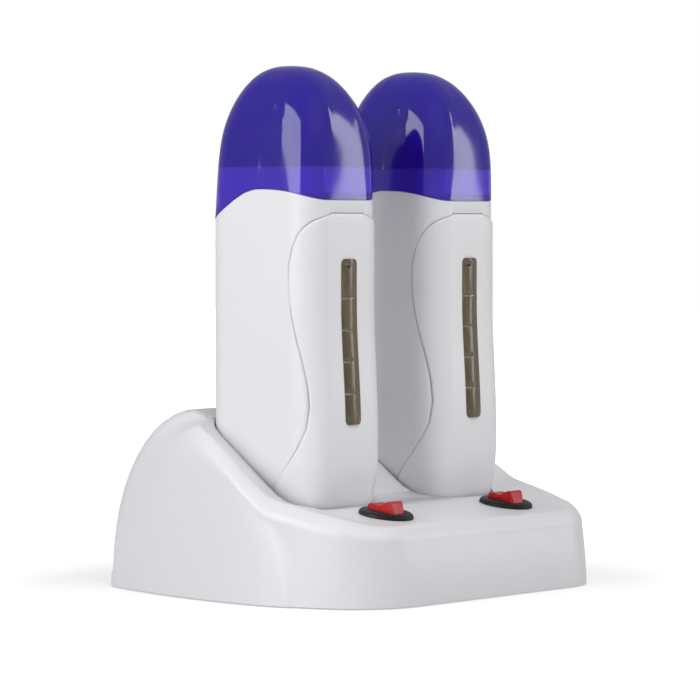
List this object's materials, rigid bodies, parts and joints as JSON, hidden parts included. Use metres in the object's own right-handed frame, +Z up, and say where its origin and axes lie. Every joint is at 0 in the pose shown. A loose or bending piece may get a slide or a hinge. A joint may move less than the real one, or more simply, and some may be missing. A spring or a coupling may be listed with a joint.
{
  "type": "roll on wax heater",
  "caption": "Roll-on wax heater: cartridge handpieces with clear domed caps and level windows, standing in a sloped docking base with rocker switches.",
  "frame": {"origin": "middle of the base's bounding box, on the surface the feet stand on", "axes": "+Z up, front (the deck with the switches) towards -Y, +X to the right along the front"},
  "size_m": [0.2018, 0.183, 0.244],
  "materials": {
    "housing_white": "satin",
    "base_white": "gloss",
    "plate_grey": "matte",
    "sleeve_white": "satin",
    "cap_violet": "clear gloss",
    "window_clear": "clear gloss",
    "rocker_red": "gloss",
    "black_plastic": "satin",
    "contact_brass": "bright",
    "plate_alloy": "brushed",
    "screw_steel": "bright",
    "element_ceramic": "matte",
    "lead_red": "matte",
    "foot_rubber": "matte"
  },
  "bodies": {
    "base": {"base_shell": "base_white", "base_plate": "plate_grey", "base_screws": "screw_steel", "rubber_feet": "foot_rubber", "mains_inlet": "black_plastic", "mains_pins": "contact_brass", "terminal_block": "plate_grey", "switch_body_left": "black_plastic", "switch_body_right": "black_plastic", "switch_terminals": "contact_brass", "dock_post_left": "black_plastic", "dock_post_right": "black_plastic", "dock_contacts": "contact_brass"},
    "rocker_left": {"rocker_left": "rocker_red"},
    "rocker_right": {"rocker_right": "rocker_red"},
    "handpiece_left": {"housing_left": "housing_white", "front_cover_left": "housing_white", "window_left": "window_clear", "cartridge_sleeve_left": "sleeve_white", "heating_plate_left": "plate_alloy", "ptc_element_left": "element_ceramic", "thermostat_left": "screw_steel", "heater_leads_left": "lead_red", "socket_block_left": "black_plastic", "socket_pins_left": "contact_brass", "socket_screws_left": "screw_steel"},
    "handpiece_right": {"housing_right": "housing_white", "front_cover_right": "housing_white", "window_right": "window_clear", "cartridge_sleeve_right": "sleeve_white", "heating_plate_right": "plate_alloy", "ptc_element_right": "element_ceramic", "thermostat_right": "screw_steel", "heater_leads_right": "lead_red", "socket_block_right": "black_plastic", "socket_pins_right": "contact_brass", "socket_screws_right": "screw_steel"},
    "cap_left": {"cap_left": "cap_violet"},
    "cap_right": {"cap_right": "cap_violet"}
  },
  "joints": [
    {"name": "rocker_left_tilt", "type": "hinge", "parent": "base", "child": "rocker_left", "pos_m": [-0.045, -0.06274, 0.03895], "axis": [1, 0, 0], "range_deg": [0, 28]},
    {"name": "rocker_right_tilt", "type": "hinge", "parent": "base", "child": "rocker_right", "pos_m": [0.045, -0.06274, 0.03895], "axis": [1, 0, 0], "range_deg": [0, 28]},
    {"name": "handpiece_left_lift", "type": "slide", "parent": "base", "child": "handpiece_left", "axis": [0, 0, 1], "range_m": [0, 0.08]},
    {"name": "handpiece_right_lift", "type": "slide", "parent": "base", "child": "handpiece_right", "axis": [0, 0, 1], "range_m": [0, 0.08]},
    {"name": "cap_left_lift", "type": "slide", "parent": "handpiece_left", "child": "cap_left", "axis": [0, 0, 1], "range_m": [0, 0.05]},
    {"name": "cap_right_lift", "type": "slide", "parent": "handpiece_right", "child": "cap_right", "axis": [0, 0, 1], "range_m": [0, 0.05]}
  ]
}
